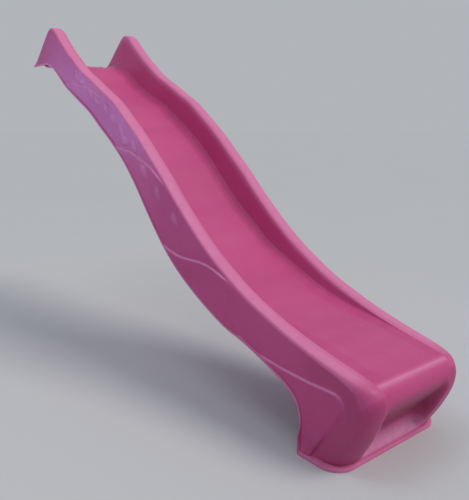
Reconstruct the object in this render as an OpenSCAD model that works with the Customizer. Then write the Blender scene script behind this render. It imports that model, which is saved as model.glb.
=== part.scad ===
// Wave slide for a garden play tower: one moulded chute with its deck screws and ground anchors.
// +X runs downhill, +Z is up. The origin is the middle of the four deck screws, on the deck.

/* [Overall] */
// Height of the deck above the ground
deck_h = 1500; // [1400:10:1800]
// From the deck screws to the front of the nose, on plan
reach = 2500; // [2300:10:3000]
// Width of the chute across its rims
slide_w = 540; // [450:10:650]

/* [Moulding] */
// Wall of the moulding
wall_t = 5; // [4:0.5:6]
// Width of a side rim
rim_w = 68; // [56:1:82]
// Outer edge radius of a rim
rim_r = 14; // [8:1:16]
// Inner edge radius of a rim
rim_in_r = 14; // [8:1:16]
// Lean of the inner side walls
wall_draft = 6; // [2:1:10]
// Lean of the outer flanks
flank_draft = 1.5; // [0.5:0.5:3]
// Width of the raised strip along each side of the bed
strip_w = 58; // [40:1:70]
// Rise of that strip at the wall
strip_rise = 14; // [8:1:20]
// Width of the bead along the bottom of the flanks
bead_w = 7; // [3:1:10]
// Height of that bead
bead_h = 9; // [6:1:14]

/* [Foot] */
// How far the flange stands out from the rims
flange_w = 36; // [28:2:50]
// Plan radius of the front corners
foot_r = 74; // [60:2:84]
// Depth of the hollow in the front face
recess = 32; // [15:1:40]

/* [Deck fixing] */
// Screw spacing along the slide
screw_dx = 60; // [40:2:70]
// Distance of a screw from the foot of the side strip
screw_in = 20; // [14:1:40]
// Shank of a deck screw
screw_d = 6; // [5:0.5:8]
// Length of a deck screw below the deck
screw_l = 45; // [30:5:60]
// Depth of the thread, which stops under the lip
thread_h = 0.5; // [0.3:0.1:0.8]
// Clearance round the thread in its hole
screw_gap = 0.5; // [0.3:0.1:1]
// Diameter of the screw head
screw_head_d = 12; // [10:0.5:14]
// Height of the screw head
screw_head_h = 3.5; // [2.5:0.5:5]
// Diameter of the steel washer
washer_d = 14; // [12.5:0.5:16]
// Thickness of the steel washer
washer_t = 1.2; // [0.8:0.2:2]
// Diameter of the cap base
cap_d = 23; // [19:0.5:25]
// Thickness of the cap base under the washer
cap_base_t = 1.8; // [1.2:0.2:2.6]
// Wall of the snap-on lid
cap_wall = 1.4; // [1:0.1:2]

/* [Ground anchors] */
// Width of an anchor bar
bar_w = 30; // [25:1:36]
// Thickness of an anchor bar
bar_t = 4; // [3:0.5:6]
// Depth of an anchor below the ground
bar_l = 260; // [150:10:350]
// Length of the anchor's turned foot
bar_foot = 60; // [30:5:90]
// Diameter of an anchor bolt
bolt_d = 8; // [6:1:8]
// Distance of a lug from the foot of the side strip
lug_in = 4; // [2:1:30]
// Thickness of a lug
lug_t = 10; // [8:1:14]
// Height of a lug above the ground
lug_h = 96; // [86:2:110]

/* [Hidden] */
pink = [0.76, 0.38, 0.55];
steel = [0.7, 0.71, 0.72];
zinc = [0.62, 0.64, 0.66];
$fn = 48;

// ---- the lines of the chute ----
// Lip and chute, from the deck down: distance from the deck screws, height of the rim over the deck,
// depth of the trough below the rim, and depth of the flank below the bed.
LIP = wall_t;
CHUTE = [
  [-107,   16, 16 - LIP, LIP],
  [ -60,   48, 48 - LIP, LIP],
  [   0,   95, 95 - LIP, LIP],
  [  50,  134, 134 - LIP, LIP],
  [  90,  165, 165 - LIP, LIP],
  [ 125,  188, 186, 10],
  [ 158,  197, 203, 13],
  [ 205,  178, 207, 13],
  [ 270,  122, 192, 14],
  [ 350,   56, 180, 14],
  [ 430,    0, 166, 15],
  [ 520,  -60, 146, 20],
  [ 630, -113, 137, 32],
  [ 740, -169, 145, 41],
  [ 850, -224, 155, 47],
  [ 960, -300, 153, 55],
  [1070, -380, 161, 73],
  [1180, -472, 170, 100],
  [1290, -566, 172, 124],
  [1400, -668, 152, 138],
  [1520, -770, 136, 129],
  [1640, -860, 106, 131],
  [1760, -933,  86, 129],
];
// Run-out, nose and foot: rim x, rim height over the ground, flank's lower end x and height,
// depth below the rim, corner radius, half width at the rim and at the lower edge.
NOSE_X = 2500;
// The flange's step starts here. Its sizes are in walls, so its inner face doesn't fold on a thicker one.
STEP_X = 2390;
hw = slide_w / 2;
edge = hw + 5 + bead_w;
flange = hw + flange_w;
flange_r = foot_r + 10;
FOOT = [
  [1880, 504, 1865, 325, 68, rim_r, hw, edge],
  [2000, 455, 1965, 292, 48, rim_r, hw, edge],
  [2110, 416, 2050, 259, 26, rim_r, hw, edge],
  [2210, 386, 2118, 229, 11, rim_r, hw, edge + 1],
  [2300, 363, 2166, 196, 3, rim_r + 4, hw, edge + 2],
  [2370, 348, 2193, 150, 0, rim_r + 10, hw, edge + 3],
  [2430, 334, 2201, 95, 0, rim_r + 22, hw, edge + 5],
  [2472, 317, 2196, 48, 0, foot_r - 22, hw, edge + 9],
  [2494, 289, 2212, 0, 0, foot_r - 8, hw + 1, flange],
  [2500, 255, 2228, 0, recess / 10, foot_r, hw + 3, flange],
  [2488, 200, 2243, 0, recess * 0.6, foot_r, hw + 6, flange],
  [2452, 118, 2257, 0, recess, foot_r, hw + 9, flange],
  [2410, 48, 2270, 0, recess * 0.55, foot_r, hw + 11, flange],
  [STEP_X + 1, 4.4 * wall_t, 2280, 0, recess / 8, foot_r, hw + 12, flange],
  [STEP_X, 3.4 * wall_t, 2282, 0, 0, foot_r, hw + 13, flange],
  [STEP_X + 2.2 * wall_t, 2.8 * wall_t, 2289, 0, 0, flange_r, flange - 1, flange],
  [STEP_X + 2.6 * wall_t, 2 * wall_t, 2290, 0, 0, flange_r, flange, flange],
  [STEP_X + 2.4 * wall_t, 0, 2295, 0, 0, flange_r, flange, flange],
];
ground = -deck_h;
// Where the chute's own sizes end and the foot's begin
lip_end = 100;
base_h = 1500;
join_x = FOOT[0][0];
join_z = FOOT[0][1] - base_h;
run_k = (join_x - lip_end + reach - NOSE_X) / (join_x - lip_end);
drop_k = (join_z - deck_h + base_h) / join_z;

function chute_x(x) = x < lip_end ? x : lip_end + (x - lip_end) * run_k;
function chute_z(z) = z > 0 ? z : z * drop_k;
function chute_row(r) =
  let (x = chute_x(r[0]), z = chute_z(r[1]), bead = bead_w * min(1, max(0, (r[0] - 120) / 200)))
  [x, z, x, z - r[2] - r[3], r[2], rim_r, hw, hw + 5 + bead];
function foot_row(r) =
  let (dx = reach - NOSE_X)
  [r[0] + dx, r[1] - deck_h, r[2] + dx, r[3] - deck_h, r[4], r[5], r[6], r[7]];
ROWS = concat([for (r = CHUTE) chute_row(r)], [for (r = FOOT) foot_row(r)]);

// Smooth curve through the rows
function curve(a, b, c, d, t) =
  0.5 * (2 * b + (c - a) * t + (2 * a - 5 * b + 4 * c - d) * t * t + (3 * b - a - 3 * c + d) * t * t * t);
function row(i) = ROWS[min(max(i, 0), len(ROWS) - 1)];
function steps(i) = i < 4 || i > len(ROWS) - 7 ? 1 : 2;
STATIONS = concat(
  [for (i = [0:len(ROWS) - 2], s = [0:steps(i) - 1])
    curve(row(i - 1), row(i), row(i + 1), row(i + 2), s / steps(i))],
  [ROWS[len(ROWS) - 1]]
);

// ---- the cross-section ----
// Half of it, from the middle of the bed to the lower edge: [across, depth below the rim line].
function half_section(depth, length, corner, half, low) =
  let (
    k = min(1, depth / 70),
    top = half - max(rim_w, corner + rim_in_r + 6),
    foot = top - depth * tan(wall_draft) - rim_in_r,
    out = half + (length - corner) * tan(flank_draft)
  )
  concat(
    [for (s = [0, 0.5, 1]) [s * (foot - strip_w), depth]],
    [for (s = [0.4, 0.75, 1]) [foot - strip_w * (1 - s), depth - strip_rise * k * s * s]],
    [for (a = [45, 80]) [foot + 0.9 * rim_in_r * sin(a), depth - k * (strip_rise + rim_in_r * (1 - cos(a)))]],
    [for (a = [0, 45, 90]) [top + rim_in_r * (1 - cos(a)), k * rim_in_r * (1 - sin(a))]],
    [for (a = [90, 60, 30, 0]) [half - corner * (1 - cos(a)), corner * (1 - sin(a))]],
    [for (s = [0.5, 1]) [half + s * (out - half), corner + s * (length - bead_h - 2 - corner)]],
    [[low, length - bead_h + 1], [low, length]]
  );
HALF = 17;

// Station s as a ring of points in space, from the left lower edge over to the right one
function ring(s) =
  let (
    v = [s[2] - s[0], max(s[3], ground) - s[1]],
    length = norm(v),
    f = v / length,
    half = half_section(max(s[4], 0), length, min(s[5], length - bead_h - 4), s[6], s[7])
  )
  [for (j = [-(HALF - 1):HALF - 1])
    let (p = half[abs(j)], y = j < 0 ? -p[0] : p[0])
    [s[0] + f[0] * p[1], y, s[1] + f[1] * p[1]]];
OUTER = [for (s = STATIONS) ring(s)];
ni = len(OUTER);
nj = 2 * HALF - 1;

// ---- the wall ----
// The inner face lies one wall inside the outer face; the ends and lower edges stay flat.
function unit(v) = v / norm(v);
function inward(i, j) =
  let (
    du = OUTER[min(i + 1, ni - 1)][j] - OUTER[max(i - 1, 0)][j],
    dv = OUTER[i][min(j + 1, nj - 1)] - OUTER[i][max(j - 1, 0)],
    n = cross(dv, du),
    flat = i == 0 ? [0, n[1], n[2]] : i == ni - 1 ? [n[0], n[1], 0] : n
  )
  unit(flat);
function inner(i, j) =
  let (
    p = OUTER[i][j],
    k = min(j, nj - 1 - j),
    side = j < HALF ? 1 : -1,
    flank = OUTER[i][side > 0 ? 2 : nj - 3],
    q = k > 1 ? p + wall_t * inward(i, j)
      : i == ni - 1 ? p + [0, side * wall_t, 0]
      : [p[0], flank[1] + side * wall_t, p[2]]
  )
  [q[0], q[1], max(q[2], ground)];
INNER = [for (i = [0:ni - 1]) [for (j = [0:nj - 1]) inner(i, j)]];

module shell() {
  points = concat([for (r = OUTER) each r], [for (r = INNER) each r]);
  in = ni * nj;
  faces = concat(
    [for (i = [0:ni - 2], j = [0:nj - 2]) each let (a = i * nj + j, b = a + 1, c = b + nj, d = a + nj)
      [[a, b, c], [a, c, d], [in + a, in + c, in + b], [in + a, in + d, in + c]]],
    [for (j = [0:nj - 2]) each let (a = j, b = j + 1)
      [[a, in + a, in + b], [a, in + b, b]]],
    [for (j = [0:nj - 2]) each let (a = (ni - 1) * nj + j, b = a + 1)
      [[a, in + b, in + a], [a, b, in + b]]],
    [for (i = [0:ni - 2]) each let (a = i * nj, d = a + nj)
      [[a, d, in + d], [a, in + d, in + a]]],
    [for (i = [0:ni - 2]) each let (b = i * nj + nj - 1, c = b + nj)
      [[b, in + c, c], [b, in + b, in + c]]]
  );
  polyhedron(points, faces, convexity = 10);
}

// ---- the deck fixing ----
// The wing walls lean in by this much down to the lip
wing_lean = 10;
screw_r = screw_d / 2;
hole_r = screw_r + screw_gap;
screw_y = hw - rim_w - rim_in_r - wing_lean - strip_w - screw_in;
module at_screws() {
  for (sx = [-1, 1], sy = [-1, 1]) translate([sx * screw_dx / 2, sy * screw_y, 0]) children();
}

// ---- the lugs and anchors ----
mid = HALF - 1;
bolt_r = bolt_d / 2;
bolt_gap = 0.5;
lug_y = hw - foot_r - 2 * rim_in_r - 6 - strip_w - lug_in - lug_t / 2;
lug_back = 2320 + reach - NOSE_X;
lug_front = [for (i = [0:ni - 1]) if (OUTER[i][mid][2] < ground + lug_h && OUTER[i][mid][0] > lug_back)
  let (p = (OUTER[i][mid] + INNER[i][mid]) / 2) [p[0], max(p[2], ground)]];
bolt_x = lug_back + 6 + bar_w / 2;
bolt_z = [ground + 30, ground + 68];
module at_bolts() {
  for (sy = [-1, 1], z = bolt_z) translate([bolt_x, sy * lug_y, z]) rotate([sy > 0 ? -90 : 90, 0, 0]) children();
}
module lug(y) {
  outline = concat([[lug_back, ground], [lug_back, ground + lug_h], [lug_front[0][0], ground + lug_h]], lug_front);
  translate([0, y + lug_t / 2, 0]) rotate([90, 0, 0]) linear_extrude(height = lug_t) polygon(outline);
}

module slide_body() {
  color(pink) difference() {
    union() {
      shell();
      lug(-lug_y);
      lug(lug_y);
    }
    at_screws() translate([0, 0, -1]) cylinder(h = wall_t + 2, r = hole_r);
    for (z = bolt_z) translate([bolt_x, 0, z]) rotate([90, 0, 0])
      cylinder(h = 2 * lug_y + 2 * lug_t, r = bolt_r + bolt_gap, center = true);
  }
}

// ---- deck screws with their washers and caps ----
head_z = LIP + cap_base_t + washer_t;
module deck_screws() {
  color(steel) at_screws() difference() {
    union() {
      translate([0, 0, -screw_l]) cylinder(h = screw_l, r = screw_r);
      translate([0, 0, -screw_l - screw_d]) cylinder(h = screw_d, r1 = 0.6, r2 = screw_r);
      translate([0, 0, -1]) cylinder(h = 1 + head_z, r = screw_r - thread_h);
      translate([0, 0, head_z]) cylinder(h = screw_head_h, d1 = screw_head_d, d2 = screw_head_d * 0.8);
    }
    translate([0, 0, head_z + screw_head_h - 2]) cylinder(h = 3, r = screw_r * 0.7);
  }
}
module deck_washers() {
  color(steel) at_screws() translate([0, 0, LIP + cap_base_t]) difference() {
    cylinder(h = washer_t, d = washer_d);
    translate([0, 0, -1]) cylinder(h = washer_t + 2, r = hole_r - 0.1);
  }
}
module cap_bases() {
  color(pink) at_screws() translate([0, 0, LIP]) difference() {
    cylinder(h = cap_base_t + washer_t, d = cap_d);
    translate([0, 0, cap_base_t]) cylinder(h = washer_t + 1, d = washer_d + 0.6);
    translate([0, 0, -1]) cylinder(h = cap_base_t + 2, r = hole_r);
  }
}
module cap_lids() {
  lid_h = screw_head_h + 1.2 + cap_wall;
  color(pink) at_screws() translate([0, 0, head_z]) rotate_extrude() polygon([
    [cap_d / 2 - cap_wall, 0], [cap_d / 2, 0], [cap_d / 2, lid_h * 0.45], [cap_d * 0.42, lid_h * 0.8],
    [cap_d * 0.28, lid_h], [0, lid_h], [0, lid_h - cap_wall], [cap_d * 0.27, lid_h - cap_wall],
    [cap_d / 2 - cap_wall, lid_h * 0.4]
  ]);
}

// ---- ground anchors ----
module anchor(side) {
  y = side * (lug_y + lug_t / 2);
  top = ground + lug_h - 8;
  color(zinc) difference() {
    union() {
      translate([bolt_x - bar_w / 2, min(y, y + side * bar_t), ground - bar_l])
        cube([bar_w, bar_t, bar_l + top - ground]);
      translate([bolt_x - bar_w / 2, min(y, y + side * bar_foot), ground - bar_l])
        cube([bar_w, bar_foot, bar_t]);
    }
    for (z = bolt_z) translate([bolt_x, y, z]) rotate([90, 0, 0])
      cylinder(h = 4 * bar_t, r = bolt_r + bolt_gap, center = true);
  }
}
module anchor_left() { anchor(1); }
module anchor_right() { anchor(-1); }

pack_in = lug_t / 2;
pack_out = lug_t / 2 + bar_t;
nut_h = bolt_d * 0.8;
pad_t = 1.6;
module anchor_bolts() {
  color(steel) at_bolts() {
    translate([0, 0, -pack_in - pad_t - bolt_d * 0.55]) cylinder(h = bolt_d * 0.55, d = bolt_d * 1.85, $fn = 6);
    translate([0, 0, -pack_in - pad_t]) cylinder(h = pack_in + pack_out + 2 * pad_t + nut_h + 3, r = bolt_r);
  }
}
module anchor_washers() {
  color(steel) at_bolts() for (z = [-pack_in - pad_t, pack_out]) translate([0, 0, z]) difference() {
    cylinder(h = pad_t, d = bolt_d * 2);
    translate([0, 0, -1]) cylinder(h = pad_t + 2, r = bolt_r + 0.3);
  }
}
module anchor_nuts() {
  color(steel) at_bolts() translate([0, 0, pack_out + pad_t]) difference() {
    cylinder(h = nut_h, d = bolt_d * 1.85, $fn = 6);
    translate([0, 0, -1]) cylinder(h = nut_h + 2, r = bolt_r + 0.05);
  }
}

slide_body();
deck_screws();
deck_washers();
cap_bases();
cap_lids();
anchor_left();
anchor_right();
anchor_bolts();
anchor_washers();
anchor_nuts();
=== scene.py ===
"""Wave slide for a garden play tower: the moulded chute, its deck fixing and its ground anchors."""

import logging
import math
from dataclasses import dataclass, field
from enum import Enum

import bmesh
import bpy
import numpy as np
from mathutils import Matrix, Vector


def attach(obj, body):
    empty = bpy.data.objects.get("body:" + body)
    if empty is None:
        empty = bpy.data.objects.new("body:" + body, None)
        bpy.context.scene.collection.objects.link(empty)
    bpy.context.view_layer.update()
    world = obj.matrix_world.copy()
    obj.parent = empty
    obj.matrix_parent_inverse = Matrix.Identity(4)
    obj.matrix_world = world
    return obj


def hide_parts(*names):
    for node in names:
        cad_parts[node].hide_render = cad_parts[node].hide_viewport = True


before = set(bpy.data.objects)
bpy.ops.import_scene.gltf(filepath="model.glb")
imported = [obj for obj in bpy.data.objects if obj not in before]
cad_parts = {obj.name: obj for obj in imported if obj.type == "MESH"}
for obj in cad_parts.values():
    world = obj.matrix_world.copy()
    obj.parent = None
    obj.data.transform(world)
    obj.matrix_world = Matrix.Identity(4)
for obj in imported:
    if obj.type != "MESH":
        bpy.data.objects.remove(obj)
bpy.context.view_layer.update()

logging.basicConfig(level=logging.INFO, format="%(message)s")
log = logging.getLogger("wave_slide")

# One millimetre in metres, and the height of the ground in millimetres
MM = 0.001
GROUND = -1500.0

Colour = tuple[float, float, float]
Point = tuple[float, float, float]
Line = tuple[tuple[float, float], ...]
Socket = bpy.types.NodeSocket
Piece = bpy.types.Object
BMesh = bmesh.types.BMesh


class Slot(Enum):
    """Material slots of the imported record."""

    MOULDING = "moulding"
    SCREW = "screw_steel"
    CAP = "cap_plastic"
    GALVANISED = "galvanised"
    ZINC = "bolt_zinc"


# ---------------------------------------------------------------- finishes


@dataclass
class NodeSheet:
    """One material's node tree, with short calls that add and link nodes."""

    name: str
    material: bpy.types.Material = field(init=False)

    def __post_init__(self) -> None:
        """Start an empty tree with a Principled shader."""
        self.material = bpy.data.materials.new(self.name)
        self.material.use_nodes = True
        tree = self.material.node_tree
        tree.nodes.clear()
        self.nodes, self.links = tree.nodes, tree.links
        out = self.nodes.new("ShaderNodeOutputMaterial")
        self.shader = self.nodes.new("ShaderNodeBsdfPrincipled")
        self.link(self.shader.outputs[0], out.inputs["Surface"])
        self.coords = self.nodes.new("ShaderNodeTexCoord")

    def link(self, source: Socket, target: Socket) -> None:
        """Join two sockets."""
        self.links.new(source, target)

    def noise(
        self, scale: float, detail: float = 3.0, stretch: Point = (1, 1, 1), uv: bool = False
    ) -> Socket:
        """Add a noise pattern.

        Args:
            scale: Cells in a metre.
            detail: Octaves of finer noise.
            stretch: Scale of the pattern on each axis.
            uv: Follow the piece's own map instead of its object coordinates.

        Returns:
            The noise value's socket.
        """
        mapping = self.nodes.new("ShaderNodeMapping")
        mapping.inputs["Scale"].default_value = stretch
        self.link(self.coords.outputs["UV" if uv else "Object"], mapping.inputs["Vector"])
        node = self.nodes.new("ShaderNodeTexNoise")
        node.inputs["Scale"].default_value = scale
        node.inputs["Detail"].default_value = detail
        self.link(mapping.outputs[0], node.inputs["Vector"])
        return node.outputs["Fac"]

    def attribute(self, name: str) -> Socket:
        """Read one of the mesh's own values."""
        node = self.nodes.new("ShaderNodeAttribute")
        node.attribute_name = name
        return node.outputs["Fac"]

    def remap(self, value: Socket, low: float, high: float, to_low: float, to_high: float) -> Socket:
        """Stretch a value from one range to another, held at the ends.

        Args:
            value: The value to stretch.
            low: Value that becomes to_low.
            high: Value that becomes to_high.
            to_low: First result.
            to_high: Second result.

        Returns:
            The result's socket.
        """
        node = self.nodes.new("ShaderNodeMapRange")
        for key, number in zip(("From Min", "From Max", "To Min", "To Max"), (low, high, to_low, to_high)):
            node.inputs[key].default_value = number
        self.link(value, node.inputs["Value"])
        return node.outputs[0]

    def math(self, kind: str, a: Socket, b: Socket | float) -> Socket:
        """Combine two values by a Math node of that kind."""
        node = self.nodes.new("ShaderNodeMath")
        node.operation = kind
        self.link(a, node.inputs[0])
        if isinstance(b, (int, float)):
            node.inputs[1].default_value = b
        else:
            self.link(b, node.inputs[1])
        return node.outputs[0]

    def blend(self, fac: Socket, a: Socket | Colour, b: Socket | Colour) -> Socket:
        """Mix two colours.

        Args:
            fac: Share of the second colour.
            a: First colour or its socket.
            b: Second colour or its socket.

        Returns:
            The mixed colour's socket.
        """
        node = self.nodes.new("ShaderNodeMix")
        node.data_type = "RGBA"
        self.link(fac, node.inputs[0])
        for side, socket in ((a, node.inputs[6]), (b, node.inputs[7])):
            if isinstance(side, tuple):
                socket.default_value = (*side, 1)
            else:
                self.link(side, socket)
        return node.outputs[2]

    def bump(self, height: Socket, depth: float, strength: float = 1.0) -> None:
        """Add a bump to the shader's normal, on top of those already there.

        Args:
            height: The height pattern, from 0 to 1.
            depth: Real height of the pattern in metres.
            strength: Share of the bump that shows.
        """
        node = self.nodes.new("ShaderNodeBump")
        node.inputs["Strength"].default_value = strength
        node.inputs["Distance"].default_value = depth
        self.link(height, node.inputs["Height"])
        normal = self.shader.inputs["Normal"]
        if normal.is_linked:
            self.link(normal.links[0].from_socket, node.inputs["Normal"])
        self.link(node.outputs[0], normal)

    def plain(self, **values: float) -> None:
        """Set constant values on the shader's own sockets."""
        for key, value in values.items():
            self.shader.inputs[key.replace("_", " ")].default_value = value


@dataclass(frozen=True)
class MouldedPlastic:
    """Satin polyethylene: cloudy colour, fine stipple, scuffs along the slide, worn edges, painted highlights
    on crests and edges, and painted shade.
    """

    name: str
    base: Colour
    deep: Colour
    # Paler tone for specks, wear and painted highlights.
    pale_tone: Colour
    roughness: float = 0.46

    def material(self) -> bpy.types.Material:
        """Build the material."""
        sheet = NodeSheet(self.name)
        cloud = sheet.noise(3.1, 4.0)
        fleck = sheet.noise(420.0, 2.0)
        scuff = sheet.noise(48.0, 5.0, (0.16, 1.0, 1.0), uv=True)
        wear = sheet.attribute("wear")
        grime = sheet.attribute("grime")
        colour = sheet.blend(sheet.remap(cloud, 0.3, 0.7, 0.0, 1.0), self.base, self.deep)
        band = sheet.remap(sheet.noise(5.0, 2.0, (1.0, 0.10, 1.0), uv=True), 0.42, 0.62, 0.0, 0.75)
        colour = sheet.blend(sheet.math("MULTIPLY", band, sheet.attribute("slide")), colour, self.deep)
        colour = sheet.blend(sheet.remap(fleck, 0.55, 0.8, 0.0, 0.35), colour, self.pale_tone)
        patchy = sheet.noise(26.0, 5.0)
        # Paler tone from the mesh's wear value: partly wear, partly painted highlights on the crests, lip
        # end, nose edge and the foot's hollow.
        lightened = sheet.math("MULTIPLY", wear, sheet.remap(patchy, 0.3, 0.7, 0.82, 1.0))
        colour = sheet.blend(lightened, colour, self.pale_tone)
        dust = sheet.math("MULTIPLY", grime, sheet.remap(sheet.noise(38.0, 6.0), 0.35, 0.75, 0.0, 0.28))
        colour = sheet.blend(dust, colour, (0.30, 0.13, 0.15))
        shade = sheet.remap(sheet.attribute("shade"), 0.0, 1.0, 0.0, 0.55)
        colour = sheet.blend(shade, colour, (0.20, 0.035, 0.055))
        sheet.link(colour, sheet.shader.inputs["Base Color"])
        slid = sheet.math("MULTIPLY", sheet.remap(scuff, 0.3, 0.75, 0.0, 1.0), sheet.attribute("slide"))
        rough = sheet.math("ADD", sheet.remap(slid, 0.0, 1.0, -0.03, 0.08), self.roughness)
        rough = sheet.math("ADD", rough, sheet.remap(cloud, 0.3, 0.7, -0.03, 0.03))
        sheet.link(rough, sheet.shader.inputs["Roughness"])
        sheet.bump(fleck, 0.00012)
        sheet.bump(sheet.noise(55.0, 2.0), 0.0004, 0.6)
        sheet.bump(slid, 0.00015, 0.6)
        sheet.plain(IOR=1.5, Specular_IOR_Level=0.28)
        return sheet.material


@dataclass(frozen=True)
class Metal:
    """Plated or galvanised steel: cloudy plating, fine scratches and dull patches."""

    name: str
    base: Colour
    dull: Colour
    roughness: float
    spangle: float
    bump: float

    def material(self) -> bpy.types.Material:
        """Build the material."""
        sheet = NodeSheet(self.name)
        patch = sheet.noise(self.spangle, 2.0)
        fine = sheet.noise(1600.0, 3.0, (1.0, 1.0, 0.15))
        colour = sheet.blend(sheet.remap(patch, 0.38, 0.62, 0.0, 1.0), self.base, self.dull)
        sheet.link(colour, sheet.shader.inputs["Base Color"])
        rough = sheet.math("ADD", sheet.remap(patch, 0.3, 0.7, -0.08, 0.12), self.roughness)
        rough = sheet.math("ADD", rough, sheet.remap(fine, 0.3, 0.7, -0.04, 0.06))
        sheet.link(rough, sheet.shader.inputs["Roughness"])
        sheet.bump(fine, 0.00003)
        sheet.bump(patch, self.bump, 0.7)
        sheet.plain(Metallic=1.0)
        return sheet.material


@dataclass(frozen=True)
class Finishes:
    """Every finish of the slide."""

    moulding: MouldedPlastic = MouldedPlastic(
        "satin_pink_polyethylene", (0.545, 0.072, 0.238), (0.48, 0.050, 0.200), (0.70, 0.25, 0.47)
    )
    cap: MouldedPlastic = MouldedPlastic(
        "pink_cap_plastic", (0.50, 0.075, 0.21), (0.46, 0.065, 0.19), (0.60, 0.16, 0.32), 0.34
    )
    galvanised: Metal = Metal(
        "hot_dip_galvanised", (0.56, 0.58, 0.60), (0.42, 0.45, 0.48), 0.46, 90.0, 0.0002
    )
    zinc: Metal = Metal("bright_zinc", (0.70, 0.71, 0.70), (0.58, 0.60, 0.61), 0.30, 160.0, 0.00005)
    stainless: Metal = Metal("stainless_steel", (0.72, 0.72, 0.71), (0.62, 0.62, 0.62), 0.26, 120.0, 0.00003)


# ---------------------------------------------------------------- curves


def hill(value: np.ndarray, width: float) -> np.ndarray:
    """A smooth hump, 1 where the value is 0, that fades over a width."""
    return np.exp(-((value / width) ** 2))


def soft_step(value: np.ndarray) -> np.ndarray:
    """A soft step from 0 to 1 as the value goes from 0 to 1."""
    v = np.clip(value, 0, 1)
    return v * v * (3 - 2 * v)


def spline(rows: np.ndarray, i: int, steps: int) -> list[np.ndarray]:
    """Points on a smooth curve from one row to the next.

    Args:
        rows: The rows that the curve runs through.
        i: The row that the points start at.
        steps: How many points to make.

    Returns:
        The points, the first on row i and none on the row after it.
    """
    a, b, c, d = (rows[min(max(n, 0), len(rows) - 1)] for n in (i - 1, i, i + 1, i + 2))
    return [
        0.5 * (2 * b + (c - a) * t + (2 * a - 5 * b + 4 * c - d) * t**2 + (3 * b - a - 3 * c + d) * t**3)
        for t in (s / steps for s in range(steps))
    ]


def mirrored(half: np.ndarray, sign: int = 1) -> np.ndarray:
    """Whole sections from their left halves, each of which starts at the middle of the bed."""
    return np.concatenate([sign * half[:, :0:-1], half], axis=1)


# ---------------------------------------------------------------- the chute's lines


@dataclass
class ChuteLines:
    """The chute as planar sections strung along its rims, all sizes in millimetres.

    A row of the chute is the rim's x and height over the deck, the trough's depth below the rim, and the
    flank's drop below the bed. A row of the foot is the rim's x and height over the ground, the flank's
    lower end, the trough's depth, the corner radius and the half widths at the rim and lower edge.
    """

    wall: float = 5.0
    rim_w: float = 68.0
    rim_r: float = 14.0
    rim_in_r: float = 14.0
    wall_draft: float = 6.0
    flank_draft: float = 1.5
    strip_w: float = 58.0
    strip_rise: float = 14.0
    bead_w: float = 7.0
    bead_h: float = 9.0
    foot_r: float = 74.0
    half: float = 270.0
    flange: float = 306.0
    column: float = 9.0
    most_steps: int = 13

    def bead(self, x: float) -> float:
        """How far the bead along the flank's lower edge stands out, from nothing at the wings."""
        return self.bead_w * min(max((x - 120) / 200, 0), 1)

    def rows(self) -> np.ndarray:
        """All rows as rim x, rim z, skirt x, skirt z, depth, corner radius, half width, lower half width."""
        r, hw, fr = self.rim_r, self.half, self.foot_r
        edge = hw + self.wall + self.bead_w
        side = hw + 17
        chute = [
            (-107, 16, 11, 5), (-60, 48, 43, 5), (0, 95, 90, 5), (50, 134, 129, 5), (90, 165, 160, 5),
            (125, 188, 186, 10), (158, 197, 203, 13), (205, 178, 207, 13), (270, 122, 192, 14),
            (350, 56, 180, 14), (430, 0, 166, 15), (520, -60, 146, 20), (630, -113, 137, 32),
            (740, -169, 145, 41), (850, -224, 155, 47), (960, -300, 153, 55), (1070, -380, 161, 73),
            (1180, -472, 170, 100), (1290, -566, 172, 124), (1400, -668, 152, 138), (1520, -770, 136, 129),
            (1640, -860, 106, 131), (1760, -933, 86, 129),
        ]  # fmt: skip
        foot = [
            (1880, 504, 1865, 325, 68, r, hw, edge), (2000, 455, 1965, 292, 48, r, hw, edge),
            (2110, 416, 2050, 259, 26, r, hw, edge), (2210, 386, 2118, 229, 11, r, hw, edge + 1),
            (2300, 363, 2166, 196, 3, r + 4, hw, edge + 2), (2370, 348, 2193, 150, 0, r + 10, hw, edge + 3),
            (2430, 334, 2201, 95, 0, r + 22, hw, edge + 5), (2472, 317, 2196, 48, 0, fr - 22, hw, edge + 9),
            (2494, 289, 2212, 0, 0, fr - 8, hw + 1, side), (2500, 255, 2228, 0, 0, fr, hw + 3, side),
            (2488, 200, 2243, 0, 0, fr, hw + 6, side), (2452, 118, 2257, 0, 0, fr, hw + 9, side),
            (2411, 48, 2270, 0, 0, fr, hw + 11, side), (2396, 22, 2280, 0, 0, fr, hw + 12, side),
            (2390, 12, 2288, 0, 0, fr, hw + 13, side), (2389, 0, 2295, 0, 0, fr, hw + 13, side),
        ]  # fmt: skip
        listed = [(x, z, x, z - d - s, d, r, hw, hw + self.wall + self.bead(x)) for x, z, d, s in chute]
        listed += [(a, b + GROUND, c, d + GROUND, *rest) for a, b, c, d, *rest in foot]
        return np.array(listed, float)

    def stations(self) -> np.ndarray:
        """Rows along the slide, about a column's width apart, on a smooth curve through the rows."""
        rows = self.rows()
        made = []
        for i in range(len(rows) - 1):
            gap = rows[i + 1] - rows[i]
            far = max(math.hypot(*gap[:2]), 0.6 * math.hypot(*gap[2:4]))
            made += spline(rows, i, int(min(max(round(far / self.column), 2), self.most_steps)))
        table = np.array([*made, rows[-1]])
        table[:, 3] = np.maximum(table[:, 3], GROUND)
        table[:, 4] = np.maximum(table[:, 4], 0.0)
        return table


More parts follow.
